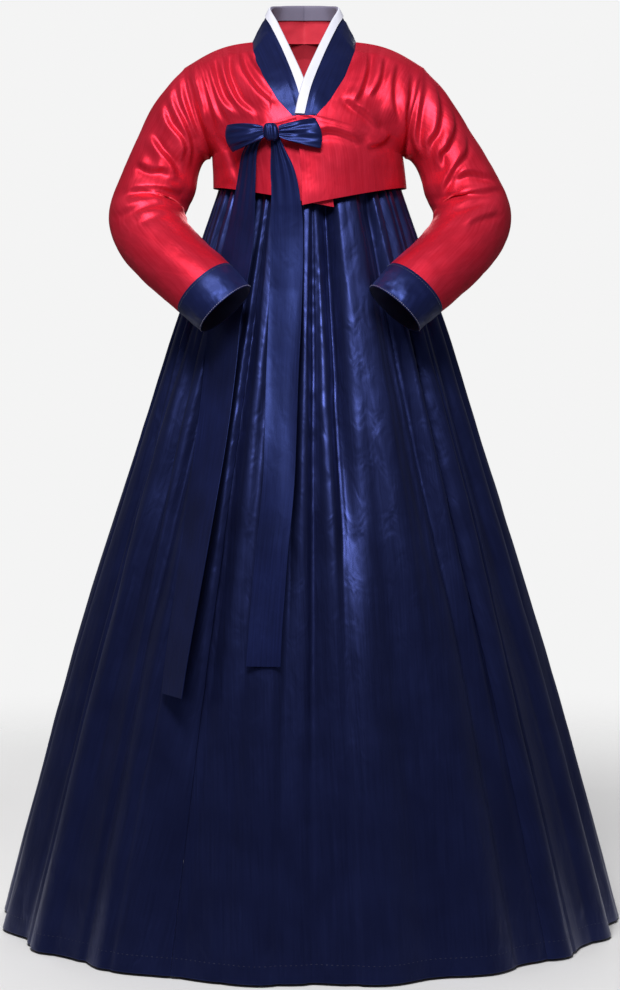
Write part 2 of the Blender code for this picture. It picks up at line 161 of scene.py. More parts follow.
def cloth(name, grid, inside, wall, materials, closed=False):
    """One piece of cloth from a grid of points, facing away from the points given as inside."""
    grid, inside = bordered(grid, closed), bordered(inside, closed)
    rows, cols = grid.shape[:2]
    normals = outward(grid, inside, closed)
    across = (np.roll(grid, -1, axis=1) - grid)[:, :cols - 1]
    along = np.diff(grid, axis=0)
    turned = np.sum(np.cross(across[:-1], along[:, :cols - 1]) * normals[:-1, :cols - 1]) < 0
    u, v = metres_along(grid, closed)
    faces, uvs = [], []
    for r in range(rows - 1):
        for c in range(cols if closed else cols - 1):
            corners = [(r, c), (r, c + 1), (r + 1, c + 1), (r + 1, c)]
            if turned:
                corners.reverse()
            faces.append([i * cols + j % cols for i, j in corners])
            uvs.extend((u[i, j], v[i, j]) for i, j in corners)
    mesh = bpy.data.meshes.new(name)
    mesh.from_pydata(placed(grid).reshape(-1, 3).tolist(), [], faces)
    mesh.uv_layers.new(name="cut").data.foreach_set("uv", np.array(uvs).ravel())
    for material in materials:
        mesh.materials.append(material)
    mesh.shade_smooth()
    piece = added(name, mesh)
    shell = piece.modifiers.new("thickness", "SOLIDIFY")
    shell.thickness, shell.offset, shell.use_even_offset = wall, -1.0, False
    shell.material_offset = len(materials) - 1
    areas = sum(face.area for face in mesh.polygons)
    print("%-22s %5d faces %.4f m2" % (name, len(mesh.polygons), areas))
    return piece


# %% [markdown]
# ## Colour and nodes
# Screens state colours in sRGB, but a renderer adds up light in linear values, so one function
# turns each hex colour to linear. The others add a node, set it and join its inputs. That keeps
# every material below short enough to read as a recipe.

# %% Colour and node helpers
def linear(hex_colour, strength=1.0):
    """An sRGB hex colour as a linear RGBA value."""
    values = [int(hex_colour[i:i + 2], 16) / 255 for i in (0, 2, 4)]
    values = [v / 12.92 if v <= 0.04045 else ((v + 0.055) / 1.055) ** 2.4 for v in values]
    return [v * strength for v in values] + [1.0]


def add_node(tree, kind, settings=(), inputs=()):
    """Adds a node, sets its properties, then fills or links its inputs. A node that is given
    as an input stands for its first output."""
    shader = not kind.startswith(("Geometry", "NodeGroup"))
    node = tree.nodes.new("ShaderNode" + kind if shader else kind)
    for name, value in dict(settings).items():
        setattr(node, name, value)
    for name, value in dict(inputs).items():
        if isinstance(value, bpy.types.Node):
            value = value.outputs[0]
        if isinstance(value, bpy.types.NodeSocket):
            tree.links.new(value, node.inputs[name])
        else:
            node.inputs[name].default_value = value
    return node


def spots(tree, place, scale, detail, **more):
    """Soft random spots."""
    return add_node(tree, "TexNoise", inputs={
        "Vector": place, "Scale": scale, "Detail": detail, **more})


def ribs(tree, place, scale, way, **more):
    """Parallel bands, as threads make them."""
    return add_node(tree, "TexWave", {"wave_type": "BANDS", "bands_direction": way}, {
        "Vector": place, "Scale": scale, **more}).outputs["Fac"]


def bump(tree, strength, distance, height, **more):
    """Relief from a height."""
    return add_node(tree, "Bump", inputs={
        "Strength": strength, "Distance": distance, "Height": height, **more})


def blend(tree, share, low, high):
    """A colour between two others."""
    return add_node(tree, "Mix", {"data_type": "RGBA"}, {0: share, 6: low, 7: high}).outputs[2]


def new_material(name):
    """An empty node material, and its tree to fill."""
    material = bpy.data.materials.new(name)
    material.use_nodes = True
    material.node_tree.nodes.clear()
    return material, material.node_tree


def finished(material, inputs):
    """The material with its shader joined to the output."""
    shader = add_node(material.node_tree, "BsdfPrincipled", inputs=inputs)
    add_node(material.node_tree, "OutputMaterial", inputs={"Surface": shader})
    print("material", material.name)
    return material


# %% [markdown]
# ## Polyester satin
# A hanbok set of this kind is cut from polyester satin. Its warp floats over the weft, so most
# of what we see is long parallel threads, which spread a highlight across them. The Principled
# shader does this with anisotropy, and its specular tint colours the highlight, as dyed threads
# do. The threads are 0.2 mm apart on the real cloth. They are drawn 1.1 mm apart, as coarse as
# the render can show, with slubs as streaks along the warp.

# %% Satin
THREAD_SPACING = 0.0011
BAND_PERIOD = 0.314159      # a wave texture of scale 1 repeats after this many metres
SLUBS, CRUMPLES = (420, 9, 1), (46, 20, 1)     # spots a metre, across and along the warp


def satin(name, dark, light, glow, roughness, specular, crumple, metallic=0.0):
    """Woven satin: two thread shades, warp streaks, a fine rib, and soft crumples."""
    material, tree = new_material(name)
    cut = add_node(tree, "UVMap", {"uv_map": "cut"})
    warp = add_node(tree, "Mapping", inputs={"Vector": cut, "Scale": SLUBS})
    slubs = spots(tree, warp, 1.0, 3.0, Roughness=0.6)
    both = add_node(tree, "Math", {"operation": "MULTIPLY"}, {
        0: slubs, 1: spots(tree, cut, 14.0, 2.0)})
    shade = add_node(tree, "MapRange", inputs={"Value": both, "From Min": 0.12, "From Max": 0.42})
    gloss = add_node(tree, "MapRange", inputs={
        "Value": slubs, "To Min": roughness - 0.05, "To Max": roughness + 0.07})
    soft = add_node(tree, "Mapping", inputs={"Vector": cut, "Scale": CRUMPLES})
    low = bump(tree, crumple, 0.004, spots(tree, soft, 1.0, 2.0, Distortion=0.6))
    threads = ribs(tree, cut, BAND_PERIOD / THREAD_SPACING, "X", Distortion=0.8, Detail=1.0)
    return finished(material, {
        "Base Color": blend(tree, shade, linear(dark), linear(light)), "Roughness": gloss,
        "Metallic": metallic, "Normal": bump(tree, 0.10, 0.0003, threads, Normal=low),
        "Tangent": add_node(tree, "Tangent", {"direction_type": "UV_MAP", "uv_map": "cut"}),
        "Anisotropic": 0.55, "Specular IOR Level": specular, "Specular Tint": linear(glow),
        "Sheen Weight": 0.02, "Sheen Roughness": 0.4, "Sheen Tint": linear(glow)})


# Bright red satin, whose highlights turn pink-red. Deep navy satin, whose highlights turn to a
# clear blue. The neckband, cuffs and ribbons are the same satin on a firm backing: smoother.
RED_SATIN = satin("red_polyester_satin", "BC1C30", "CE2C42", "FF9098", 0.40, 0.45, 0.24, 0.55)
NAVY_SATIN = satin("navy_polyester_satin", "090B1E", "10142E", "7C90FF", 0.34, 1.0, 0.34)
TRIM_SATIN = satin("navy_trim_satin", "0C0F28", "12173A", "7890FF", 0.36, 0.60, 0.16)

# %% [markdown]
# ## Lining, white strip and thread
# Inside the jacket is a thin matte lining, which shows at the neck and in the cuffs. The white
# dongjeong is plain-woven cotton over stiff paper, so it is nearly flat white with a fine even
# weave. Its inside face, which stands in shade, takes a grey copy of the same cotton: painted
# shade. Sewing thread is polyester, twisted, with a soft shine.

# %% Plain weaves and thread
def plain_weave(name, colour, spacing, roughness):
    """Plain weave: warp and weft as crossed ribs, with a slight mottle."""
    material, tree = new_material(name)
    cut = add_node(tree, "UVMap", {"uv_map": "cut"})
    crossed = [ribs(tree, cut, BAND_PERIOD / spacing, way, Distortion=0.5) for way in "XY"]
    woven = add_node(tree, "Math", {"operation": "MULTIPLY"}, dict(enumerate(crossed)))
    mottle = spots(tree, cut, 60.0, 3.0)
    return finished(material, {
        "Base Color": blend(tree, mottle, linear(colour, 0.86), linear(colour)),
        "Roughness": roughness, "Normal": bump(tree, 0.15, 0.0003, woven),
        "Specular IOR Level": 0.35, "Sheen Weight": 0.05, "Sheen Roughness": 0.5})


def thread(name, colour):
    """Twisted sewing thread: a diagonal rib round each stitch."""
    material, tree = new_material(name)
    place = add_node(tree, "TexCoord").outputs["Object"]
    twist = ribs(tree, place, 300.0, "DIAGONAL")
    return finished(material, {
        "Base Color": blend(tree, twist, linear(colour, 0.8), linear(colour)),
        "Roughness": 0.45, "Normal": bump(tree, 0.3, 0.0002, twist), "Sheen Weight": 0.2})


RED_LINING = plain_weave("red_polyester_lining", "CC2E40", 0.0013, 0.62)
NAVY_LINING = plain_weave("navy_polyester_lining", "12173A", 0.0013, 0.62)
WHITE_COTTON = plain_weave("white_cotton_strip", "C2C2CE", 0.0012, 0.55)
# The strip's inside face: the same white cotton, painted grey for the shade it stands in.
STRIP_PAINTED_SHADE = plain_weave("white_cotton_painted_shade", "6E687C", 0.0012, 0.60)
GREY_THREAD = thread("grey_polyester_thread", "8E88A0")
NAVY_THREAD = thread("navy_polyester_thread", "20284E")
WHITE_THREAD = thread("white_polyester_thread", "D8D6E0")

# %% [markdown]
# ## Creases placed one by one
# Satin shows its shape through its creases, so they matter more than the weave. A cloth
# simulation gives folds of its own choosing. Here each main crease is a short line in the table
# below, read as seen from the front: its half width, its height, then points as x and height
# above the hem. A vertex rises by how near it is to a line, with a trough beside each ridge, and
# only where the cloth faces that way. The back has a table of its own.

# %% Crease tables
FRONT_CREASES = (
    # half width, height, then x and height of each point, all in millimetres
    # the wearer's right chest: long folds from shoulder to bow
    (4.6, 4.2, (-172, 1330), (-160, 1290), (-150, 1250), (-150, 1215)),
    (4.0, 3.6, (-160, 1332), (-150, 1296), (-136, 1256), (-124, 1226)),
    (5.0, 4.8, (-146, 1340), (-140, 1306), (-124, 1266), (-96, 1238)),
    (4.4, 4.4, (-122, 1346), (-120, 1310), (-102, 1266), (-70, 1238)),
    (5.0, 4.4, (-104, 1350), (-94, 1312), (-66, 1272), (-34, 1250)),
    (3.8, 2.6, (-90, 1350), (-78, 1322), (-56, 1292)),
    (4.4, 3.0, (-144, 1214), (-126, 1188), (-118, 1158), (-116, 1140)),
    # the wearer's left chest: a Z-shaped fold under the shoulder, and a long one from the bow
    (4.6, 4.6, (94, 1348), (92, 1312), (82, 1280), (70, 1262)),
    (4.4, 4.4, (58, 1276), (76, 1260), (96, 1246), (112, 1224)),
    (4.2, 4.0, (118, 1340), (112, 1300), (98, 1274)),
    (4.0, 3.6, (140, 1334), (132, 1296), (132, 1262), (138, 1232)),
    (5.0, 3.8, (6, 1214), (34, 1222), (62, 1216), (86, 1202)),
    (5.0, 3.0, (126, 1222), (112, 1206), (86, 1198)),
    # the wearer's right arm: long folds down the upper arm, loops above the elbow
    (4.2, 4.6, (-186, 1326), (-186, 1286), (-176, 1246), (-166, 1212)),
    (4.4, 5.0, (-200, 1312), (-200, 1270), (-186, 1232), (-180, 1198), (-188, 1166)),
    (4.0, 4.4, (-216, 1276), (-210, 1238), (-192, 1206), (-196, 1176)),
    (4.4, 4.6, (-240, 1222), (-228, 1196), (-212, 1174), (-202, 1148)),
    (5.0, 4.0, (-262, 1180), (-240, 1168), (-216, 1170)),
    (4.4, 4.4, (-288, 1130), (-256, 1138), (-222, 1138), (-194, 1130)),
    (4.4, 3.6, (-300, 1096), (-268, 1108), (-238, 1116), (-206, 1116)),
    (4.2, 2.8, (-262, 1086), (-234, 1098), (-204, 1100)),
    # the wearer's left arm: nested U-shaped folds, then folds stacked over the elbow
    (4.2, 4.6, (160, 1322), (156, 1278), (150, 1236), (156, 1190), (170, 1160)),
    (4.0, 4.4, (178, 1328), (178, 1290), (172, 1250), (168, 1214), (176, 1184)),
    (4.2, 5.2, (196, 1306), (204, 1262), (198, 1226), (186, 1208), (182, 1180)),
    (4.0, 4.6, (222, 1268), (226, 1232), (212, 1202), (200, 1188), (202, 1160)),
    (4.0, 4.0, (244, 1226), (240, 1196), (222, 1172), (206, 1146), (196, 1122)),
    (4.4, 4.6, (286, 1150), (262, 1160), (238, 1162), (214, 1150)),
    (4.4, 3.6, (296, 1142), (262, 1134), (230, 1130), (198, 1132)),
    (4.2, 3.2, (266, 1124), (234, 1112), (208, 1102), (188, 1088)),
    (4.4, 3.4, (286, 1102), (256, 1092), (228, 1078)),
)
BACK_CREASES = (
    (5.0, 4.4, (-168, 1322), (-148, 1276), (-118, 1240), (-80, 1224)),
    (4.4, 3.6, (-146, 1236), (-120, 1208), (-86, 1196)),
    (5.0, 3.0, (-150, 1190), (-120, 1172), (-70, 1168)),
    (4.4, 3.2, (-78, 1342), (-66, 1300), (-68, 1262)),
    (5.0, 3.0, (-34, 1350), (-30, 1310), (-36, 1270)),
    (5.0, 4.4, (162, 1322), (150, 1278), (126, 1246), (92, 1234)),
    (4.4, 3.6, (147, 1228), (122, 1196), (94, 1180)),
    (5.0, 3.0, (148, 1180), (116, 1160), (78, 1160)),
    (4.4, 3.0, (60, 1344), (44, 1302), (48, 1266)),
    (4.4, 4.6, (-192, 1316), (-196, 1256), (-184, 1210), (-194, 1168)),
    (4.2, 4.2, (-250, 1204), (-226, 1174), (-204, 1158)),
    (4.4, 3.8, (-300, 1120), (-262, 1112), (-226, 1120)),
    (4.4, 3.4, (-292, 1082), (-258, 1082), (-226, 1096)),
    (4.4, 4.6, (190, 1318), (198, 1256), (182, 1212), (190, 1170)),
    (4.2, 4.2, (252, 1212), (232, 1178), (206, 1166)),
    (4.4, 3.8, (298, 1116), (264, 1108), (230, 1112)),
    (4.4, 3.4, (290, 1078), (256, 1074), (224, 1088)),
)
CREASE_SAMPLES, CREASE_END = 50, 14        # points along a crease, and those that fade out
CREASE_SLOPE, CREASE_SCALE = 2.8, 1.25


def crease_height(grid, facing, creases):
    """How far each point of a grid rises for the creases near it: a gentle slope on the upper
    left side of each crease, a steep one with a trough on the other, as pulled satin folds."""
    flat = grid[..., (0, 2)].reshape(-1, 2)
    total = np.zeros(len(flat))
    last = CREASE_SAMPLES - 1
    for half_width, height, *line in creases:
        ends = np.linspace(0, len(line) - 1, CREASE_SAMPLES)
        path = np.array([smooth(line, at) for at in ends]) / 1000
        step = flat[:, None, :] - path[None]
        near = np.argmin((step ** 2).sum(axis=2), axis=1)
        offset = step[np.arange(len(flat)), near]
        way = np.gradient(path, axis=0)[near]
        run = path[-1] - path[0]
        gentle = np.sign(run[0] * 0.8 + run[1] * 0.6)
        side = gentle * np.sign(way[:, 0] * offset[:, 1] - way[:, 1] * offset[:, 0])
        far = side * np.linalg.norm(offset, axis=1) / (half_width / 1000)
        fade = eased(near / CREASE_END) * eased((last - near) / CREASE_END)
        ridge = np.exp(-np.where(far > 0, far / CREASE_SLOPE, far) ** 2)
        trough = 0.5 * np.exp(-((far + 1.9) / 1.2) ** 2)
        total += CREASE_SCALE * height / 1000 * fade * (ridge - trough)
    return total.reshape(facing.shape) * eased(facing * 1.3)


def ripples(grid, size, height, stretch=(1.0, 1.0, 1.0)):
    """Small uneven undulations, about size metres apart."""
    points = (grid * np.array(stretch) / size).reshape(-1, 3)
    values = [noise.fractal(Vector(p), 1.0, 2.0, 3) for p in points]
    return np.array(values).reshape(grid.shape[:2]) * height


def creased(grid, inside, fade, closed=False):
    """A jacket piece's grid with its front and back creases and small ripples."""
    normals = outward(grid, inside, closed)
    rise = crease_height(grid, -normals[..., 1], FRONT_CREASES)
    rise = rise + crease_height(grid, normals[..., 1], BACK_CREASES)
    rise = rise + ripples(grid, 0.050, 0.0014, (1.0, 1.0, 0.6))
    return grid + normals * (rise * fade)[..., None]


print("creases", len(FRONT_CREASES), "front,", len(BACK_CREASES), "back")

# %% [markdown]
# ## Jeogori: fronts and backs
# The jacket closes left over right with a slanted edge, and its two backs meet in a centre seam.
# Every row of a panel leaves the side seam or the armhole and bends round the body to the
# panel's edge. The edges keep still where pieces are sewn together, so creases fade out there.

# %% Cut the jacket panels
FRONT = (
    # side, start angle, centre y, edge x, edge height
    (-0.050, 90, -0.1330, -0.012, 1.1070), (-0.025, 90, -0.1310, -0.012, 1.1500),
    (0.000, 90, -0.1295, -0.012, 1.1950), (0.120, 78, -0.1275, -0.012, 1.2405),
    (0.200, 68, -0.1265, 0.018, 1.2405), (0.350, 58, -0.1140, 0.040, 1.2660),
    (0.550, 52, -0.0860, 0.062, 1.3030), (0.780, 48, -0.0400, 0.0774, 1.3460),
    (1.000, 45, 0.0000, 0.0796, 1.3650),
)
UNDER_EDGE, UNDER_DROP = ((-0.036, 1.1045), (-0.030, 1.150), (-0.022, 1.195)), 0.0070
UNDER_FRONT = tuple(row[:3] + edge for row, edge in zip(FRONT, UNDER_EDGE)) + FRONT[3:]
BACK = (
    (-0.050, 90, 0.1180, 0.0000, 1.1430), (-0.025, 90, 0.1170, 0.0000, 1.1700),
    (0.000, 90, 0.1160, 0.0000, 1.2000), (0.150, 78, 0.1170, 0.0000, 1.2350),
    (0.300, 66, 0.1160, 0.0000, 1.2700), (0.500, 56, 0.1100, 0.0000, 1.3150),
    (0.720, 50, 0.0950, 0.0000, 1.3520), (0.880, 47, 0.0760, 0.0000, 1.3740),
    (0.950, 46, 0.0500, 0.0500, 1.3710), (1.000, 45, 0.0000, 0.0796, 1.3650),
)
PANEL_STEP, PANEL_COLUMNS = 0.0625, 121
NEAR_EDGE, UNDER_SHARE = 0.05, 0.35        # creases of the under front are flattened there


def side_point(side, sign):
    """The side seam below the armpit, and the armhole above it. sign is -1 at the front."""
    if side <= 0:
        return np.array((ARMPIT[0] - side * SIDE_FLARE, 0.0, ARMPIT[1] + side))
    lift = (1 - math.cos(math.pi * side)) / 2
    return np.array((ARMPIT[0] + (SHOULDER[0] - ARMPIT[0]) * lift,
                     sign * ARMHOLE_DEPTH * math.sin(math.pi * side),
                     ARMPIT[1] + (SHOULDER[1] - ARMPIT[1]) * lift))


def panel_row(rows, at, sign):
    """One row of a panel's points, from the side to its edge, on the wearer's left."""
    side, start, centre_y = smooth(rows, at)[:3]
    edge_x, edge_h = straight(rows, at)[3:5]
    origin = side_point(min(side, 1.0), sign)
    begin = math.radians(start)
    reach = origin[0] / math.sin(begin)
    angle = np.linspace(begin, math.asin(edge_x / reach), PANEL_COLUMNS)
    x = reach * np.sin(angle)
    share = (np.cos(angle) - math.cos(begin)) / (1 - math.cos(begin))
    y = origin[1] + (sign * max(sign * centre_y, 0.0) - origin[1]) * share
    lift = (origin[0] - x) / (origin[0] - edge_x)
    rise = SHOULDER_RISE * np.sin(math.pi * lift) * eased(side)
    return np.stack([x, y, origin[2] + (edge_h - origin[2]) * lift + rise], axis=1)


def tucked(points):
    """Drops the under front behind the outer one near the middle of the chest."""
    drop = UNDER_DROP * eased((0.065 - points[..., 0]) / 0.045) * eased(-points[..., 1] / 0.06)
    return points + drop[..., None] * np.array((0.0, 1.0, 0.0))


def panel_grid(rows, sign, side, under=False):
    """A whole panel, mirrored for the wearer's right."""
    stations = np.arange(0, len(rows) - 1 + PANEL_STEP / 2, PANEL_STEP)
    grid = np.array([panel_row(rows, min(at, len(rows) - 1), sign) for at in stations])
    return (tucked(grid) if under else grid) * np.array((side, 1.0, 1.0))


def edge_fade(shape, left, right, top, bottom=0):
    """1 inside a grid, 0 at its sewn edges, over this many columns or rows."""
    def ramp(count, first, last):
        at = np.arange(count)
        fade = eased(at / first) if first else np.ones(count)
        return fade * eased((count - 1 - at) / last) if last else fade
    return ramp(shape[0], bottom, top)[:, None] * ramp(shape[1], left, right)


PANELS = {
    "jeogori_front_left": panel_grid(FRONT, -1, 1),
    "jeogori_front_right": panel_grid(UNDER_FRONT, -1, -1, under=True),
    "jeogori_back_left": panel_grid(BACK, 1, 1),
    "jeogori_back_right": panel_grid(BACK, 1, -1),
}
jacket = {}
for label, grid in PANELS.items():
    fade = edge_fade(grid.shape, 12, 0 if "front" in label else 10, 12)
    if label == "jeogori_front_right":
        fade = fade * np.where(-grid[..., 0] < NEAR_EDGE, UNDER_SHARE, 1.0)
    inside = around_axis(grid)
    jacket[label] = cloth(label, creased(grid, inside, fade), inside, JACKET_WALL,
                          [RED_SATIN, RED_LINING])

# %% [markdown]
# ## Neckband and white strip
# The git is a band of folded navy satin sewn round the neckline. It stands up at the back of the
# neck and lies flat on the chest. Over its top edge sits the dongjeong, a stiff white strip that
# is basted on so that it can be changed. We run the band from its sewn edge to its top edge at
# each station, and sweep a folded section along the same stations for the strip.

# %% Neckband
TOP_EDGE = (
    (-0.012, -0.1265, 1.2418), (0.000, -0.1080, 1.2910), (0.020, -0.0640, 1.3420),
    (0.042, -0.0200, 1.3910), (0.0535, 0.0080, 1.4160), (0.037, 0.045, 1.424),
    (0.000, 0.062, 1.427),
)
FRONT_NECK, BACK_NECK, SHOULDER_AT = 4, 7, 4   # stations where the neckline starts and turns
STRIP_OUT, STRIP_IN, STRIP_WALL, STRIP_CLEAR, STRIP_SHORT = 0.012, 0.020, 0.0013, 0.0007, 0.0015
TUCK = 0.0020              # the band's sewn edge is tucked this far behind the jacket's
BAND_CROWN, BAND_FLAT = 0.0012, 0.62       # the band swells this much, up to this share of it


def neck_half(front, back, side, under):
    """Half of the neckband's stations: sewn edge, its inward direction, and top edge."""
    found = []
    front_in, back_in = (-outward(grid, around_axis(grid)) for grid in (front, back))
    per_row = int(round(1 / PANEL_STEP))
    for r in range(FRONT_NECK * per_row, len(front)):
        found.append((front[r, -1], front_in[r, -1], smooth(TOP_EDGE, r / per_row - FRONT_NECK)))
    for r in range(len(back) - 2, BACK_NECK * per_row - 1, -1):
        at = SHOULDER_AT + (len(back) - 1 - r) / per_row
        found.append((back[r, -1], back_in[r, -1], smooth(TOP_EDGE, at)))
    mirror = np.array((side, 1.0, 1.0))
    return [(seam, inward, (tucked(top) if under else top) * mirror) for seam, inward, top in found]


left_half = neck_half(PANELS["jeogori_front_left"], PANELS["jeogori_back_left"], 1, False)
right_half = neck_half(PANELS["jeogori_front_right"], PANELS["jeogori_back_right"], -1, True)
stations = left_half + right_half[-2::-1]
last = len(stations) - 1
band, band_inside, strip_frames = [], [], []
for r, (seam, inward, top) in enumerate(stations):
    across = seam - top
    start = seam + unit(across - inward * np.dot(across, inward)) * TUCK + inward * JACKET_WALL
    if r in (0, last):
        start[2] = top[2]
    along = unit(stations[min(r + 2, last)][2] - stations[max(r - 2, 0)][2])
    out = unit(np.cross(along, across))
    out = out * math.copysign(1, np.dot(out, -inward))
    down = unit(across)
    fold = top + down * STRIP_IN
    row = [start + (fold - start) * t for t in np.linspace(0, 1, 14)[:-1]]
    row += [top + down * d for d in np.linspace(STRIP_IN, 0, 8)]
    band.append(row)
    band_inside.append([p - out * 0.02 for p in row])
    back_step = {0: 1, last: -1}.get(r, 0) * STRIP_SHORT
    strip_frames.append((top + along * back_step, down, out))
band, band_inside = np.array(band), np.array(band_inside)
across = np.linspace(0, 1, band.shape[1])
crown = np.sin(across * math.pi) ** 0.5 * BAND_CROWN
crown = crown * eased(np.minimum(np.arange(last + 1), last - np.arange(last + 1)) / 10)[:, None]
crown = crown + ripples(band, 0.030, 0.0009) * edge_fade(band.shape, 5, 8, 6, 6)
crown = crown * np.where(across > BAND_FLAT, 0.0, 1.0)
band = band + outward(band, band_inside) * crown[..., None]
collar = cloth("collar", band, band_inside, BAND_WALL, [TRIM_SATIN, RED_LINING])

# %% White strip
def folded_section():
    """The strip's section: distance down from the band's top edge, and distance out of it."""
    middle, inner = -BAND_WALL / 2, BAND_WALL / 2 + STRIP_CLEAR
    outer = inner + STRIP_WALL
    turn = np.linspace(0, math.pi, 9)
    front = (STRIP_OUT, STRIP_OUT * 0.94, 0.006)
    behind = (0.006, 0.013, STRIP_IN)
    points = [(d, middle + outer) for d in front]
    points += [(-outer * math.sin(a) * 0.9, middle + outer * math.cos(a)) for a in turn]
    points += [(d, middle - outer) for d in behind]
    count = len(points)
    points += [(d, middle - inner) for d in behind[::-1]]
    points += [(-inner * math.sin(a) * 0.9, middle - inner * math.cos(a)) for a in turn]
    points += [(d, middle + inner) for d in front[::-1]]
    return points, count


def lengths_along(points):
    """Distance along a line of points, at each of them."""
    steps = np.linalg.norm(np.diff(np.array(points), axis=0), axis=1)
    return np.concatenate([[0.0], np.cumsum(steps)])


section, half = folded_section()
rings = np.array([[top + down * d + out * o for d, o in section]
                  for top, down, out in strip_frames])
count = len(section)
faces = [(r * count + i, r * count + (i + 1) % count, (r + 1) * count + (i + 1) % count,
          (r + 1) * count + i) for r in range(last) for i in range(count)]
for first in (0, last * count):
    faces += [(first + i, first + i + 1, first + count - 2 - i, first + count - 1 - i)
              for i in range(half - 1)]
mesh = bpy.data.meshes.new("dongjeong")
mesh.from_pydata(placed(rings).reshape(-1, 3).tolist(), [], faces)
work = bmesh.new()
work.from_mesh(mesh)
bmesh.ops.recalc_face_normals(work, faces=work.faces)
layer = work.loops.layers.uv.new("cut")
run, round_it = lengths_along(rings[:, 6]), lengths_along(section)
work.verts.ensure_lookup_table()
for face in work.faces:
    for corner in face.loops:
        r, i = divmod(corner.vert.index, count)
        corner[layer].uv = (round_it[i], run[r])
work.to_mesh(mesh)
work.free()
mesh.materials.append(WHITE_COTTON)
mesh.materials.append(STRIP_PAINTED_SHADE)
# Faces from the top of the fold down the strip's inside face take the grey copy of the white
# cotton: painted shade.
for face in mesh.polygons:
    corners = [corner % count for corner in face.vertices]
    face.material_index = int(min(corners) >= 6 and max(corners) <= half + 2)
mesh.shade_smooth()
mesh.set_sharp_from_angle(angle=math.radians(50))
dongjeong = added("dongjeong", mesh)
print("dongjeong", len(mesh.polygons), "faces,", round(run[-1], 3), "m round the neck")

# %% [markdown]
# ## Sleeves and cuffs
# Each sleeve is a tube that follows the bent arm of the worn garment, and a navy band, the
# kkeutdong, ends it. A circle swept along a curve would twist at the elbow, so every ring's
# frame is carried on from the one before. The first ring lies in the armhole's plane and the
# last in the cuff's mouth. Folds of the CAD model come first, then the listed creases.

# %% Sleeves
SLEEVE = (
    # centre x, y, height, half width, half depth
    (0.1665, 0.000, 1.2575, 0.0700, ARMHOLE_DEPTH), (0.2055, 0.000, 1.2095, 0.0530, 0.0560),
    (0.2350, -0.010, 1.1450, 0.0565, 0.0560), (0.2510, -0.036, 1.0880, 0.0580, 0.0560),
    (0.2160, -0.104, 1.0360, 0.0555, 0.0530), (0.1560, -0.172, 0.9820, 0.0525, 0.0510),
    (0.1240, -0.194, 0.9515, 0.0490, 0.0480),
)
MOUTH_FACING, CUFF_FROM, CUFF_TO, SLEEVE_POINTS = (-0.66, -0.22, -0.72), 5.0, 6.0, 160
SLEEVE_STEP, CUFF_STEP, ELBOW = 0.04, 0.05, 3.1    # in stations of the table above
SLEEVE_FOLDS = (
    # station, degrees round it, spread along, spread around, height
    (1.15, 90, 0.45, 26, 0.0040), (1.90, 150, 0.30, 34, 0.0045), (2.65, 120, 0.22, 40, 0.0055),
    (3.25, 135, 0.22, 36, 0.0050), (3.05, 45, 0.25, 30, 0.0040), (0.80, 300, 0.45, 28, 0.0040),
    (2.40, 250, 0.30, 34, 0.0045),
)


def turned_from(degrees, where):
    """The turn from one direction to another, -180 to 180 degrees."""
    return (degrees - where + 180) % 360 - 180


def sleeve_frames(at_stations):
    """Centre, sleeve direction, outer and front directions, and sizes at each station."""
    loop = np.array((SHOULDER[0] - ARMPIT[0], 0, SHOULDER[1] - ARMPIT[1]))
    outer = unit(loop)
    frames = []
    for at in at_stations:
        row = smooth(SLEEVE, at)
        ahead = smooth(SLEEVE, min(at + 0.15, CUFF_TO))
        behind = smooth(SLEEVE, max(at - 0.15, 0.0))
        share = eased(at)
        tangent = unit(unit(ahead[:3] - behind[:3]) * share
                       + unit((loop[2], 0, -loop[0])) * (1 - share))
        share = eased((at - 3.6) / 2.0)
        tangent = unit(tangent * (1 - share) + unit(MOUTH_FACING) * share)
        outer = unit(outer - tangent * np.dot(outer, tangent))
        frames.append((row[:3], tangent, outer, np.cross(tangent, outer), row[3], row[4]))
    return frames


def fold_height(at, degrees):
    """Height of the CAD model's large sleeve folds, fading out at the seams."""
    total = np.zeros_like(degrees)
    for station, where, along, around, height in SLEEVE_FOLDS:
        turn = turned_from(degrees, where)
        total += height * np.exp(-((at - station) / along) ** 2 - (turn / around) ** 2)
    return total * eased(at / 0.5) * eased((CUFF_FROM - at) / 0.5)


def sleeve_grid(first, last, step, side):
    """Rings of points along part of a sleeve, and their centres."""
    before = list(np.arange(0, first, 0.05))
    wanted = list(np.linspace(first, last, int(round((last - first) / step)) + 1))
    degrees = np.arange(SLEEVE_POINTS) * 360.0 / SLEEVE_POINTS
    turn = np.radians(degrees)[:, None]
    grid, centres = [], []
    frames = sleeve_frames(before + wanted)[len(before):]
    for at, (centre, _, outer, front, half, deep) in zip(wanted, frames):
        away = outer * np.cos(turn) * half + front * np.sin(turn) * deep
        grid.append(centre + away * (1 + fold_height(at, degrees) / half)[:, None])
        centres.append(np.repeat(centre[None], SLEEVE_POINTS, axis=0))
    mirror = np.array((side, 1.0, 1.0))
    return np.array(grid) * mirror, np.array(centres) * mirror


def elbow_gathers(grid, at):
    """Fine stacked folds in the crook of the elbow, uneven in height."""
    height = 0.0008 * np.sin(grid[..., 2] * 420 + 1.7 * np.sin(grid[..., 0] * 60))
    return height * np.exp(-((at - ELBOW) / 0.75) ** 2)[:, None]


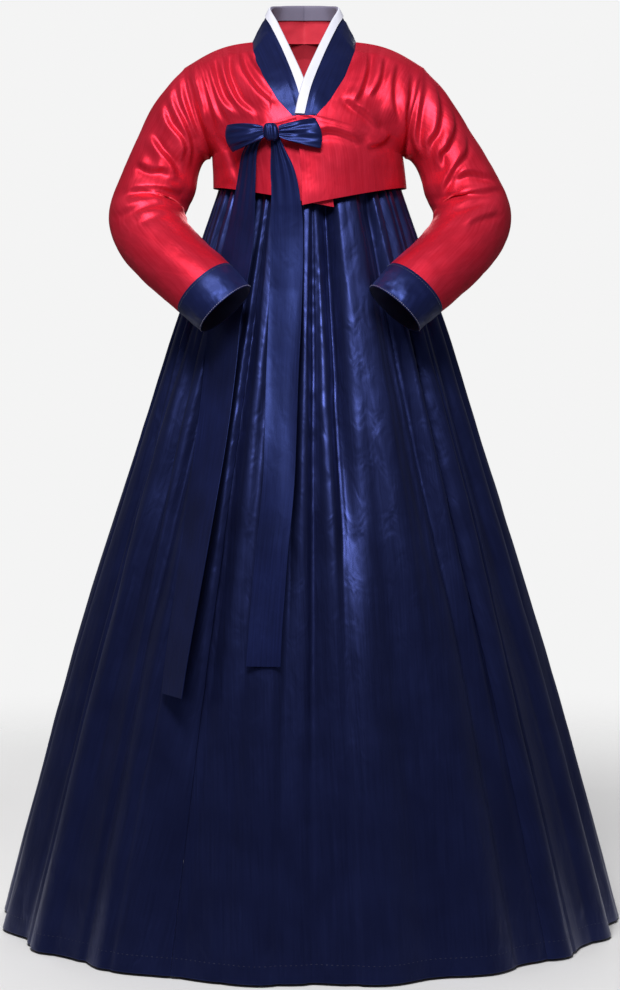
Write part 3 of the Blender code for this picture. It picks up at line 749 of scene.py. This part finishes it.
sleeves, mouth_rings = {}, {}
for hand, side in (("left", 1), ("right", -1)):
    grid, centres = sleeve_grid(0.0, CUFF_FROM, SLEEVE_STEP, side)
    at = np.linspace(0.0, CUFF_FROM, len(grid))
    keep = (eased(at / 0.35) * eased((CUFF_FROM - at) / 0.3))[:, None]
    normals = outward(grid, centres, True)
    rise = elbow_gathers(grid, at) * eased(normals[..., 0] * -side * 1.5) * keep
    grid = creased(grid, centres, keep, closed=True) + normals * rise[..., None]
    sleeves["sleeve_" + hand] = cloth("sleeve_" + hand, grid, centres, JACKET_WALL,
                                      [RED_SATIN, RED_LINING], closed=True)
    grid, centres = sleeve_grid(CUFF_FROM, CUFF_TO, CUFF_STEP, side)
    at = np.linspace(0, 1, len(grid))
    keep = eased(at / 0.3)[:, None] * eased((1.15 - at) / 0.5)[:, None]
    rise = ripples(grid, 0.030, 0.0016) * keep
    grid = grid + outward(grid, centres, True) * rise[..., None]
    sleeves["cuff_" + hand] = cloth("cuff_" + hand, grid, centres, JACKET_WALL,
                                    [TRIM_SATIN, NAVY_LINING], closed=True)
    mouth_rings[hand] = (grid[1], grid[-2], centres[0, 0], centres[-1, 0])

# %% [markdown]
# ## Chima: pleats, folds and puckered seams
# The skirt is five gores, pleated into the band. Near the band the pleats are sharp and lie one
# way; lower down they open into wide soft folds, and no two are the same. We treat the skirt as
# a surface round an axis, and set how far each point lies in from the outermost fold. Big folds
# of the photograph are rows of a table. Ridges stay level with the CAD's surface, so that the
# ribbons lie on top of them. Along three lines the cloth is puckered by its stitching.

# %% Skirt tables
PLEATS_A_PANEL, PANEL_COUNT, FIRST_SEAM = 8, 5, -25.0
SPAN = 360.0 / PANEL_COUNT
WAVES, WAVE_CREST, WAISTBAND_TOP = 18, -12.0, 1.250
SKIRT = (
    # height, half width, depth share, pleat depth, wave depth
    (1.205, .1340, .80, .0040, .000), (1.150, .1400, .79, .0060, .000),
    (1.107, .1530, .78, .0070, .000), (1.060, .1690, .755, .0085, .001),
    (0.980, .1950, .740, .0110, .003), (0.880, .2290, .745, .0120, .006),
    (0.760, .2685, .765, .0110, .009), (0.600, .3200, .79, .0090, .012),
    (0.400, .3810, .815, .0070, .014), (0.200, .4365, .835, .0050, .015),
    (0.000, .4900, .845, .0040, .015),
)
# Large folds: degrees at the top and at the foot, the foot's height, half width in degrees, then
# depth in millimetres, where a ridge is negative because it lies less far in
FOLDS = (
    (-66, -52, 0.30, 2.6, -6), (-60, -46, 0.45, 2.4, 7), (-54, -40, 0.20, 2.8, -6),
    (-44, -34, 0.55, 2.6, 6), (-30, -30, 0.30, 2.4, 7), (-20, -20, 0.15, 3.0, -6),
    (-11, -12, 0.40, 2.2, 6), (-2, -3, 0.45, 2.4, -6), (9, 12, 0.45, 4.5, 19),
    (24, 27, 0.30, 6.0, -12), (32, 34, 0.40, 1.8, 6), (36, 39, 0.45, 3.0, 13),
    (42, 44, 0.25, 2.4, -6), (57, 54, 0.35, 3.0, -6), (64, 61, 0.20, 3.0, 7),
    (80, 77, 0.10, 3.5, -6), (92, 95, 0.30, 3.0, 7), (108, 108, 0.20, 3.2, -6),
    (126, 122, 0.15, 3.0, 8), (140, 137, 0.30, 3.6, -7), (155, 158, 0.20, 3.0, 7),
    (170, 172, 0.10, 3.0, -6), (186, 184, 0.30, 3.2, 8), (200, 203, 0.20, 3.4, -6),
    (216, 214, 0.10, 3.0, 7), (231, 233, 0.25, 3.0, -6), (247, 245, 0.20, 3.4, 7),
    (262, 265, 0.15, 3.0, -6), (277, 277, 0.30, 3.0, 7),
)
FOLD_TOP = 1.12
# Puckers: degrees at the top and at the foot, height from and to
PUCKERS = ((-25.0, -25.0, 1.00, 0.30), (3.5, 2.5, 1.06, 0.64), (47.0, 47.0, 0.95, 0.42))
SKIRT_ROWS, COLUMNS_A_PLEAT = 110, 13


def pleat_share(phase):
    """A knife pleat's section: 0 in its valley, a slow rise to 1, and a quick fall."""
    rise = np.sin(np.clip(phase / 0.72, 0, 1) * math.pi / 2) ** 0.9
    return np.where(phase < 0.72, rise, 1 - eased((phase - 0.72) / 0.28))


def uneven(number):
    """A fixed number between -1 and 1 for each pleat."""
    return np.random.default_rng(3).uniform(-1, 1, 41)[np.mod(number, 40).astype(int)]


def inset_of(row, degrees):
    """How far the cloth lies in from the skirt's outermost surface at one height."""
    height, _, _, pleat, wave = row
    low = eased((1.05 - height) / 0.9)
    pleat_span = SPAN / PLEATS_A_PANEL
    wander = 1.4 * np.sin(np.radians(degrees * 7 + 40)) + 0.9 * np.sin(np.radians(degrees * 17))
    place = (degrees + wander * (0.35 + low) - FIRST_SEAM) / pleat_span
    at_seam = np.abs(turned_from(degrees, FIRST_SEAM) % SPAN) < 0.01
    place = np.where(at_seam, (degrees - FIRST_SEAM) / pleat_span, place)
    number, phase = np.floor(place), place % 1.0
    deep = 1.0 + 0.60 * uneven(number)
    calm = np.exp(-(turned_from(degrees, 24 - 3 * height) / 8.0) ** 2)
    calm = eased((1.10 - height) / 0.05) * calm
    inset = pleat * deep * (1 - pleat_share(phase)) * (1 - 0.9 * calm)
    inset = inset + pleat * 0.35 * low * (1 + np.sin(np.radians(degrees * 20 + height * 160)))
    swing = WAVE_CREST + 5 * np.sin(np.radians(degrees * 2 + 30))
    inset = inset + wave * (1 - np.cos(np.radians(degrees - swing) * WAVES)) / 2
    for top, foot, end, wide, depth in FOLDS:
        t = np.clip((FOLD_TOP - height) / (FOLD_TOP - end), 0, 1)
        reach = eased((FOLD_TOP + 0.05 - height) / 0.08) * (1 - eased((t - 0.55) / 0.45))
        off = turned_from(degrees, top + (foot - top) * t) / (wide * (1 - 0.25 * t))
        inset = inset + depth / 1000 * reach * np.exp(-off ** 2)
    return np.maximum(inset, 0.12 * inset)


def pucker_height(height, degrees, half):
    """Small cross ridges beside the puckered lines."""
    total = np.zeros_like(degrees)
    for top, foot, high, low in PUCKERS:
        t = (high - height) / (high - low)
        if 0 < t < 1:
            off = np.radians(turned_from(degrees, top + (foot - top) * t)) * half
            beat = np.sin(height * 370 + np.sign(off) * 1.2 + 2.2 * math.sin(height * 47))
            ridges = 0.0011 * beat * np.exp(-(np.abs(off) / 0.012) ** 2)
            valley = 0.0016 * np.exp(-(off / 0.0025) ** 2)
            total += (ridges - valley) * eased(t * 6) * eased((1 - t) * 6)
    return total


def skirt_grid(number):
    """One gore's points, from the band down."""
    begin = FIRST_SEAM + number * SPAN
    degrees = np.linspace(begin, begin + SPAN, PLEATS_A_PANEL * COLUMNS_A_PLEAT + 1)
    turn = np.radians(degrees)
    grid = []
    for at in np.linspace(0, len(SKIRT) - 1, SKIRT_ROWS):
        row = smooth(SKIRT, at)
        height, half, ratio = row[:3]
        inset = inset_of(row, degrees) - pucker_height(height, degrees, half)
        grid.append(np.stack([(half - inset) * np.sin(turn), -(half * ratio - inset) * np.cos(turn),
                              np.full_like(turn, height)], axis=1))
    return np.array(grid)


skirt = {}
for number in range(PANEL_COUNT):
    label = "skirt_panel_%d" % (number + 1)
    grid = skirt_grid(number)
    rise = ripples(grid, 0.045, 0.0011, (1.0, 1.0, 0.35)) * edge_fade(grid.shape, 6, 6, 4, 4)
    grid = grid + outward(grid, around_axis(grid)) * (rise - 0.0004)[..., None]
    skirt[label] = cloth(label, grid, around_axis(grid), SKIRT_WALL, [NAVY_SATIN, NAVY_LINING])

# %% Waistband
BAND_ROWS, BAND_STEP = 12, 2.25            # rows, and degrees between columns
foot, half, ratio = SKIRT[0][:3]
degrees = np.arange(160) * BAND_STEP
turn = np.radians(degrees)
grid = np.array([np.stack([half * np.sin(turn), -half * ratio * np.cos(turn),
                           np.full_like(turn, height)], axis=1)
                 for height in np.linspace(foot, WAISTBAND_TOP, BAND_ROWS)])
gather = 0.0006 * np.sin(degrees * 0.9) * eased(np.arange(BAND_ROWS) / 5)[::-1, None]
waist = cloth("chima_waistband", grid + outward(grid, around_axis(grid), True) * gather[..., None],
              around_axis(grid), SKIRT_WALL, [TRIM_SATIN, NAVY_LINING], closed=True)
print("waistband", round(WAISTBAND_TOP - foot, 3), "m deep")

# %% [markdown]
# ## Ribbons and bow
# The goreum are two long ties. They cross at the chest, and make a bow with two loops and two
# hanging tails. A tail is narrow and gathered at the knot, then it widens and hangs flat, bent a
# little along its length. A flat strip would look like card, so it gets gathers that fade below
# the knot, and a slow roll of its edges.

# %% Tails
LEFT_TAIL = (
    # x, height, width, turn in degrees
    (-.0460, 1.2140, .0100, 0), (-.0435, 1.1900, .021, 0), (-.0400, 1.1600, .036, 0),
    (-.0365, 1.1200, .043, 0), (-.0350, 1.0850, .048, 0), (-.0350, 1.0200, .049, 4),
    (-.0380, .9300, .049, 6), (-.0415, .8480, .048, 8), (-.0460, .7000, .047, 10),
    (-.0565, .5900, .048, 8), (-.0645, .4900, .049, 4), (-.0675, .4360, .050, 0),
)
RIGHT_TAIL = (
    (-.0570, 1.2140, .010, 0), (-.0745, 1.2050, .016, 0), (-.0880, 1.1840, .023, 0),
    (-.0970, 1.1350, .030, 0), (-.1030, 1.0850, .039, 0), (-.1120, 1.0250, .047, 4),
    (-.1265, .9500, .050, 8), (-.1350, .8600, .050, 14), (-.1470, .7565, .050, 22),
    (-.1680, .6150, .050, 34), (-.1925, .4570, .050, 46), (-.2010, .3920, .050, 50),
)
TAIL_CLEAR, RIBBON_BRIDGE, TAIL_COLUMNS, TAIL_STEP = 0.0009, 0.006, 25, 0.06
GATHER_REACH = 0.16                        # the gathers end this far below the knot


def support(x, height):
    """How far forward a ribbon lies on the jacket or the skirt at this x and height."""
    heights, halves, ratios = (column[::-1] for column in list(zip(*SKIRT))[:3])
    half = np.interp(height, heights, halves)
    ratio = np.interp(height, heights, ratios)
    skirt_y = half * ratio * math.sqrt(max(1 - (x / half) ** 2, 0.0))
    share = min(max((height - FRONT[0][4]) / 0.10, 0.0), 1.0)
    jacket_y = (0.1340 - 0.0030 * share) * math.sqrt(max(1 - (x / 0.150) ** 2, 0.0))
    bridge = RIBBON_BRIDGE * math.exp(-abs(skirt_y - jacket_y) / (2 * RIBBON_BRIDGE))
    return max(skirt_y, jacket_y) + bridge + TAIL_CLEAR


def tail_grid(table):
    """A ribbon's points, from the knot down, with gathers under the knot."""
    grid, last = [], len(table) - 1
    for at in np.append(np.arange(0, last, TAIL_STEP), last):
        x, height, width, turn = smooth(table, at)
        turn = math.radians(turn)
        gather = 1 - eased((table[0][1] - height) / GATHER_REACH)
        row = []
        for across in np.linspace(-0.5, 0.5, TAIL_COLUMNS):
            px = x + across * width * math.cos(turn)
            lift = (across + 0.5) * width * math.sin(turn)
            lift += 0.0016 * gather * (1 + math.sin(across * 19 + 0.6))
            lift += 0.0012 * (1 - gather) * (1 + math.sin(height * 21 + across * 2.4))
            lift += 0.0030 * (1 - gather) * (2 * across) ** 4 * (0.5 + 0.5 * math.sin(height * 9))
            row.append((px, -support(px, height) - RIBBON_WALL - lift, height))
        grid.append(row)
    return np.array(grid)


ribbons = {}
for label, table in (("ribbon_tail_left", LEFT_TAIL), ("ribbon_tail_right", RIGHT_TAIL)):
    grid = tail_grid(table)
    ribbons[label] = cloth(label, grid, grid + np.array((0.0, 0.1, 0.0)), RIBBON_WALL,
                           [TRIM_SATIN, TRIM_SATIN])

# %% Loops and knot
KNOT, KNOT_HALF = (-0.0515, -0.1377, 1.2151), (0.0115, 0.0105, 0.0138)
KNOT_WALL, KNOT_COLUMNS, KNOT_POINTS = 0.0008, 33, 64
LOOPS = (
    # way along x, reach, half height at the knot and the tip, drop, step back of the tip
    ("bow_loop_right", -1, 0.058, 0.008, 0.0215, 0.0095, 0.022),
    ("bow_loop_left", 1, 0.064, 0.008, 0.0240, 0.0005, -0.002),
)
LOOP_PINCH, LOOP_OPEN, LOOP_STEPS, LOOP_LANES = 0.0020, 0.0095, 84, 29
LOOP_GATHER, LOOP_FOLD, LOOP_BEND = 0.0011, 0.0024, 0.0060


def loop_grid(way, reach, low, high, drop, back):
    """A bow loop: the ribbon goes out from the knot, folds over, and comes back."""
    rows = []
    for turn in math.pi * np.arange(LOOP_STEPS + 1) / LOOP_STEPS:
        out, facing = math.sin(turn), math.cos(turn)
        sign = math.copysign(1, facing)
        gap = facing * (LOOP_PINCH + (LOOP_OPEN - LOOP_PINCH) * out)
        half = low + (high - low) * out ** 0.8
        pinch = 1 - eased(out * 1.15)
        row = []
        for lane in np.linspace(-1, 1, LOOP_LANES):
            gather = LOOP_GATHER * pinch * math.sin(lane * 11 + 0.8) * min(1.0, out * 6)
            fold = math.sin(lane * 5.2 + out * 3.4 - way)
            fold += 0.5 * math.sin(lane * 12 - out * 5.0 + way)
            crease = LOOP_FOLD * (1 - 0.6 * pinch) * fold * abs(facing)
            bend = LOOP_BEND * out * (lane + 0.2 * way) ** 2
            row.append((KNOT[0] + way * (KNOT_HALF[0] + reach * out - bend),
                        KNOT[1] + back * out * out + gap + sign * (gather + crease),
                        KNOT[2] - drop * out ** 1.6
                        + half * lane * (1 - 0.12 * out * (lane * way > 0))))
        rows.append(row)
    return np.array(rows)


for label, *sizes in LOOPS:
    grid = loop_grid(*sizes)
    ribbons[label] = cloth(label, grid, (grid + grid[::-1]) / 2, RIBBON_WALL,
                           [TRIM_SATIN, TRIM_SATIN])


def squared(values):
    """Sines or cosines of a rounder, squarer turn."""
    return np.sign(values) * np.abs(values) ** 0.75


turn = np.linspace(0, 2 * math.pi, KNOT_POINTS, endpoint=False)
rows = []
for across in np.linspace(-1, 1, KNOT_COLUMNS):
    swell = max((1 - abs(across) ** 3.2) ** 0.42, 0.30)
    wraps = 1 + 0.055 * math.sin(across * 9.5 + 0.5)
    rows.append(np.stack([np.full_like(turn, KNOT[0] + across * KNOT_HALF[0] * 0.99),
                          KNOT[1] + KNOT_HALF[1] * 0.95 * swell * wraps * squared(np.cos(turn)),
                          KNOT[2] + KNOT_HALF[2] * 0.98 * swell * squared(np.sin(turn))], axis=1))
grid = np.array(rows)
middle = np.repeat(grid.mean(axis=1, keepdims=True), KNOT_POINTS, axis=1)
ribbons["bow_knot"] = cloth("bow_knot", grid, middle, KNOT_WALL, [TRIM_SATIN, TRIM_SATIN],
                            closed=True)

# %% [markdown]
# ## Stitches
# Seams are sewn by machine, and a stitch repeats along a line, which is what Geometry Nodes are
# for. One tree resamples a line at the stitch spacing, sets a small thread on each point along
# the line, and makes them real meshes with a material. Its sizes are named inputs. We then keep
# the evaluated mesh and drop the modifier, because the export needs plain meshes.

# %% Stitch tree
def stitch_tree():
    """A node tree that lays one thread at every stitch of a line."""
    tree = bpy.data.node_groups.new("stitches", "GeometryNodeTree")
    face = tree.interface
    face.new_socket("Line", in_out="INPUT", socket_type="NodeSocketGeometry")
    for title, value in (("Spacing", 0.004), ("Length", 0.0026), ("Thickness", 0.0006)):
        face.new_socket(title, in_out="INPUT", socket_type="NodeSocketFloat").default_value = value
    face.new_socket("Thread", in_out="INPUT", socket_type="NodeSocketMaterial")
    face.new_socket("Stitches", in_out="OUTPUT", socket_type="NodeSocketGeometry")
    given = add_node(tree, "NodeGroupInput").outputs
    line = add_node(tree, "GeometryNodeMeshToCurve", inputs={"Mesh": given["Line"]})
    points = add_node(tree, "GeometryNodeCurveToPoints", {"mode": "LENGTH"}, {
        "Curve": line, "Length": given["Spacing"]})
    size = add_node(tree, "CombineXYZ", inputs={
        "X": given["Thickness"], "Y": given["Thickness"], "Z": given["Length"]})
    one = add_node(tree, "GeometryNodeMeshUVSphere", inputs={
        "Segments": 6, "Rings": 4, "Radius": 0.5})
    laid = add_node(tree, "GeometryNodeInstanceOnPoints", inputs={
        "Points": points, "Instance": one, "Rotation": points.outputs["Rotation"], "Scale": size})
    real = add_node(tree, "GeometryNodeRealizeInstances", inputs={"Geometry": laid})
    dressed = add_node(tree, "GeometryNodeSetMaterial", inputs={
        "Geometry": real, "Material": given["Thread"]})
    add_node(tree, "NodeGroupOutput", inputs={"Stitches": dressed})
    return tree


STITCHES, FACES_A_STITCH = stitch_tree(), 24


def sew(name, line, spacing, length, thickness, material, closed=False):
    """Stitches along a line of points, as one plain mesh."""
    line = placed(line)
    count = len(line)
    edges = [(i, (i + 1) % count) for i in range(count if closed else count - 1)]
    mesh = bpy.data.meshes.new(name + "_line")
    mesh.from_pydata(line.tolist(), edges, [])
    guide = added(name + "_line", mesh)
    sewing = guide.modifiers.new("sewing", "NODES")
    sewing.node_group = STITCHES
    values = {"Spacing": spacing, "Length": length, "Thickness": thickness, "Thread": material}
    for socket in STITCHES.interface.items_tree:
        if socket.in_out == "INPUT" and socket.name in values:
            sewing[socket.identifier] = values[socket.name]
    bpy.context.view_layer.update()
    graph = bpy.context.evaluated_depsgraph_get()
    sewn = bpy.data.meshes.new_from_object(guide.evaluated_get(graph))
    guide.modifiers.remove(sewing)
    bpy.data.objects.remove(guide, do_unlink=True)
    sewn.shade_smooth()
    print("%-26s %4d stitches" % (name, len(sewn.polygons) // FACES_A_STITCH))
    return added(name, sewn)


# %% Sew the seams that show
def raised(ring, centre, by=0.0003):
    """A ring of points moved out from its centre."""
    return ring + unit(ring - centre) * by


threads = []
for hand, (seam_ring, lip_ring, seam_centre, lip_centre) in mouth_rings.items():
    threads.append(sew("cuff_seam_stitches_" + hand, raised(seam_ring, seam_centre),
                       0.0036, 0.0028, 0.0009, NAVY_THREAD, closed=True))
    threads.append(sew("cuff_lip_stitches_" + hand, raised(lip_ring, lip_centre),
                       0.0036, 0.0026, 0.0008, GREY_THREAD, closed=True))
STITCH_DOWN, STITCH_OUT = STRIP_OUT - 0.0022, STRIP_CLEAR + STRIP_WALL + 0.0001
strip_line = [top + down * STITCH_DOWN + out * STITCH_OUT for top, down, out in strip_frames]
threads.append(sew("strip_basting_stitches", strip_line, 0.011, 0.0034, 0.0006, WHITE_THREAD))
for number in range(PANEL_COUNT):
    grid = skirt_grid(number)
    hem = grid[-3] + outward(grid, around_axis(grid))[-3] * 0.0001
    threads.append(sew("hem_stitches_%d" % (number + 1), hem, 0.0075, 0.0030, 0.0007, NAVY_THREAD))

# %% [markdown]
# ## Join the frame
# Every piece rides on the CAD's one body, and the CAD node that it stands for is hidden.

# %% Ride and replace
pieces = {**jacket, "collar": collar, "dongjeong": dongjeong, **sleeves, **skirt,
          "chima_waistband": waist, **ribbons}
for label, piece in pieces.items():
    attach(piece, "root")
    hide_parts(label)
for sewn in threads:
    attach(sewn, "root")

# %% [markdown]
# ## Floor, light and camera
# The photograph is a cut-out under soft studio light from above the camera: the jacket and the
# upper skirt shine, and the lower skirt falls dark. Two softboxes in front and above do that,
# since their light fades with distance. A dim world and a weak box behind keep the back
# readable. The floor is a disc of pale paper that fades into the pale background, so it looks
# the same from every side. Its own box stays out of reflections, or the shoulders would shine.

# %% Floor
FLOOR, FLOOR_RADIUS, FLOOR_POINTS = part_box("skirt_panel_1")[0][2] - 0.004, 2.5, 96
floor_material, tree = new_material("pale_studio_paper")
place = add_node(tree, "TexCoord").outputs["Object"]
paper = add_node(tree, "BsdfPrincipled", inputs={
    "Base Color": blend(tree, spots(tree, place, 3.0, 2.0), linear("E6E5E4"), linear("ECEBEA")),
    "Roughness": 0.9, "Specular IOR Level": 0.1})
level = add_node(tree, "VectorMath", {"operation": "MULTIPLY"}, {0: place, 1: (1.0, 1.0, 0.0)})
far = add_node(tree, "VectorMath", {"operation": "LENGTH"}, {0: level}).outputs["Value"]
edge = add_node(tree, "MapRange", {"interpolation_type": "SMOOTHSTEP"}, {
    "Value": far, "From Min": 0.8, "From Max": 2.4})
both = add_node(tree, "MixShader", inputs={
    0: edge, 1: paper, 2: add_node(tree, "BsdfTransparent")})
add_node(tree, "OutputMaterial", inputs={"Surface": both})

turn = np.linspace(0, 2 * math.pi, FLOOR_POINTS, endpoint=False)
mesh = bpy.data.meshes.new("paper_floor")
mesh.from_pydata([(FLOOR_RADIUS * math.cos(a), FLOOR_RADIUS * math.sin(a), FLOOR) for a in turn],
                 [], [range(FLOOR_POINTS)])
mesh.materials.append(floor_material)
added("paper_floor", mesh)

# %% Lights and camera
PHOTO_HEIGHT, FOCAL_PIXELS = 990, 2238     # the photo's height, and the lens in its pixels
SENSOR, TILT, DISTANCE, EYE_HEIGHT = 36.0, 4.0, 3.5, 0.908
scene = bpy.context.scene
scene.view_settings.view_transform = "Standard"


def softbox(name, place, target, size, power):
    """A white rectangular area light aimed at a point."""
    light = bpy.data.lights.new(name, "AREA")
    light.shape = "RECTANGLE"
    light.size, light.size_y = size
    light.energy = power
    lamp = added(name, light)
    lamp.location = place
    lamp.rotation_euler = (Vector(target) - Vector(place)).to_track_quat("-Z", "Y").to_euler()
    lamp.visible_camera = False
    return lamp


softbox("key_box", (-0.10, -1.50, 0.62), (0.0, -0.10, -0.35), (0.6, 0.40), 31)
softbox("top_box", (-0.60, -1.30, 1.50), (0.0, 0.0, -0.15), (0.7, 0.6), 30)
softbox("floor_box", (0.0, 1.6, 1.6), (0.0, 1.0, -1.4), (2.4, 1.2), 38).visible_glossy = False
softbox("back_box", (0.3, 2.6, 0.4), (0.0, 0.0, -0.6), (1.4, 1.0), 10)

world = bpy.data.worlds.new("studio")
scene.world = world
world.use_nodes = True
tree = world.node_tree
tree.nodes.clear()
dim, pale = (add_node(tree, "Background", inputs={"Color": linear(colour), "Strength": strength})
             for colour, strength in (("E6E9F2", 0.16), ("F4F4F4", 1.0)))
seen = add_node(tree, "LightPath").outputs["Is Camera Ray"]
shown = add_node(tree, "MixShader", inputs={0: seen, 1: dim, 2: pale})
add_node(tree, "OutputWorld", inputs={"Surface": shown})

camera = bpy.data.cameras.new("photo_camera")
camera.sensor_width = SENSOR
camera.lens = FOCAL_PIXELS * SENSOR / PHOTO_HEIGHT
viewpoint = added("photo_camera", camera)
viewpoint.location = (0.0, -DISTANCE, EYE_HEIGHT - NECK_HEIGHT)
viewpoint.rotation_euler = (math.radians(90 - TILT), 0.0, 0.0)
scene.camera = viewpoint
print("camera lens", round(camera.lens, 1), "mm")
